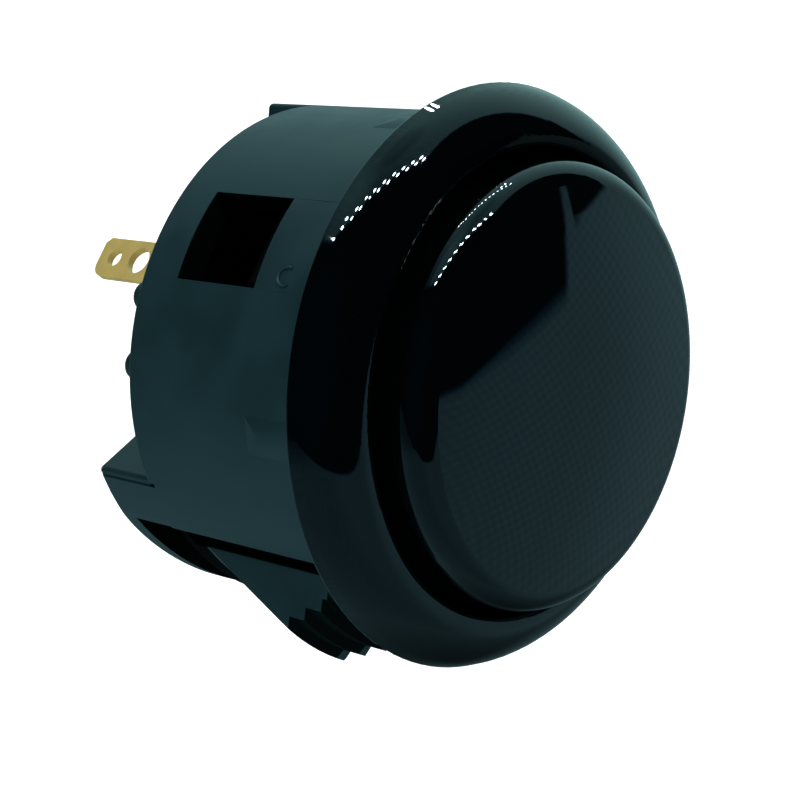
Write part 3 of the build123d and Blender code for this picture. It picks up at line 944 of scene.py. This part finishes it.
def hang_soft_lamps(settings):
    """Wide soft lamps that light matt surfaces and the floor and leave no mirror image."""
    for index, (place, power) in enumerate(SOFT_LAMPS):
        light = bpy.data.lights.new(f"soft_lamp_{index + 1}", "AREA")
        light.shape = "DISK"
        light.size = SOFT_LAMP_SIZE
        light.energy = settings.lamp_power * power
        lamp = show(light.name, light)
        lamp.location = place
        lamp.rotation_mode = "QUATERNION"
        lamp.rotation_quaternion = (SOFT_LAMP_AIM - place).to_track_quat("-Z", "Y")
        lamp.visible_camera = False
        lamp.visible_glossy = False


def lens_power(radiance, radius):
    """Power of a round lamp that shines with a given radiance."""
    return radiance * (2 * math.pi * radius) ** 2


def hang_diodes(settings):
    """The near strip's diodes, two lenses to each, a few at the box's end, and a far strip for the cap."""
    cap_only = bpy.data.collections.new("cap_only")
    cap_only.objects.link(frame["nodes"]["plunger"])
    rows = (
        ("near_outer", NEAR_STRIP - NEAR_PAIR / 2, NEAR_STEP, settings.near_diodes, 1.0),
        ("near_inner", NEAR_STRIP + NEAR_PAIR / 2, NEAR_STEP, settings.near_diodes, 1.0),
        ("end", END_STRIP, END_STEP, END_DIODES, END_SIZE),
        ("far", FAR_STRIP, FAR_STEP, settings.far_diodes, FAR_SIZE),
    )
    for row, start, step, diodes, size in rows:
        radius = settings.diode_radius * size
        for index in range(diodes):
            light = bpy.data.lights.new(f"{row}_diode_{index + 1}", "POINT")
            light.shadow_soft_size = radius
            light.energy = lens_power(settings.diode_level, radius)
            lamp = show(light.name, light)
            lamp.location = start + index * step
            lamp.visible_camera = False
            if row == "far":
                lamp.light_linking.receiver_collection = cap_only


def place_camera():
    """The photograph's own viewpoint."""
    data = bpy.data.cameras.new("photo_camera")
    data.sensor_width = CAMERA_SENSOR
    data.lens = CAMERA_LENS
    data.clip_start, data.clip_end = CAMERA_CLIP
    camera = show("photo_camera", data)
    axes = Matrix((CAMERA_RIGHT, -CAMERA_DOWN, -CAMERA_AHEAD)).transposed()
    camera.matrix_world = Matrix.Translation(CAMERA_PLACE) @ axes.to_4x4()
    bpy.context.scene.camera = camera


class ARCADEBUTTON_OT_stage(bpy.types.Operator):
    """Lay the floor, light the box and place the camera"""

    bl_idname = "arcadebutton.stage"
    bl_label = "Stage"

    def execute(self, context):
        settings = context.scene.arcade_stage
        context.scene.view_settings.view_transform = "Standard"
        lay_floor(settings)
        light_box(settings)
        hang_soft_lamps(settings)
        hang_diodes(settings)
        place_camera()
        return {"FINISHED"}


class ARCADEBUTTON_PT_panel(bpy.types.Panel):
    """Settings and steps of the push button"""

    bl_idname = "ARCADEBUTTON_PT_panel"
    bl_label = "Arcade Push Button"
    bl_space_type = "VIEW_3D"
    bl_region_type = "UI"
    bl_category = "Push Button"

    def draw(self, context):
        layout = self.layout
        for step in STEPS:
            layout.operator(step.bl_idname)
        for group, kind in SETTINGS.items():
            settings = getattr(context.scene, group)
            column = layout.column(heading=group.replace("_", " ").title())
            for setting in kind.__annotations__:
                column.prop(settings, setting)


SETTINGS = {
    "arcade_housing": HousingFinish,
    "arcade_plunger": PlungerFinish,
    "arcade_switch": SwitchFinish,
    "arcade_stage": StageSettings,
}
STEPS = (
    ARCADEBUTTON_OT_stage,
    ARCADEBUTTON_OT_housing,
    ARCADEBUTTON_OT_plunger,
    ARCADEBUTTON_OT_switch,
    ARCADEBUTTON_OT_contacts,
    ARCADEBUTTON_OT_springs,
)
CLASSES = (*SETTINGS.values(), *STEPS, ARCADEBUTTON_PT_panel)


def register():
    for kind in CLASSES:
        bpy.utils.register_class(kind)
    for name, kind in SETTINGS.items():
        setattr(bpy.types.Scene, name, PointerProperty(type=kind))


def unregister():
    for name in SETTINGS:
        delattr(bpy.types.Scene, name)
    for kind in reversed(CLASSES):
        bpy.utils.unregister_class(kind)


def main():
    register()
    bpy.ops.arcadebutton.stage()
    bpy.ops.arcadebutton.housing()
    bpy.ops.arcadebutton.plunger()
    bpy.ops.arcadebutton.switch()
    bpy.ops.arcadebutton.contacts()
    bpy.ops.arcadebutton.springs()


if __name__ == "__main__":
    main()
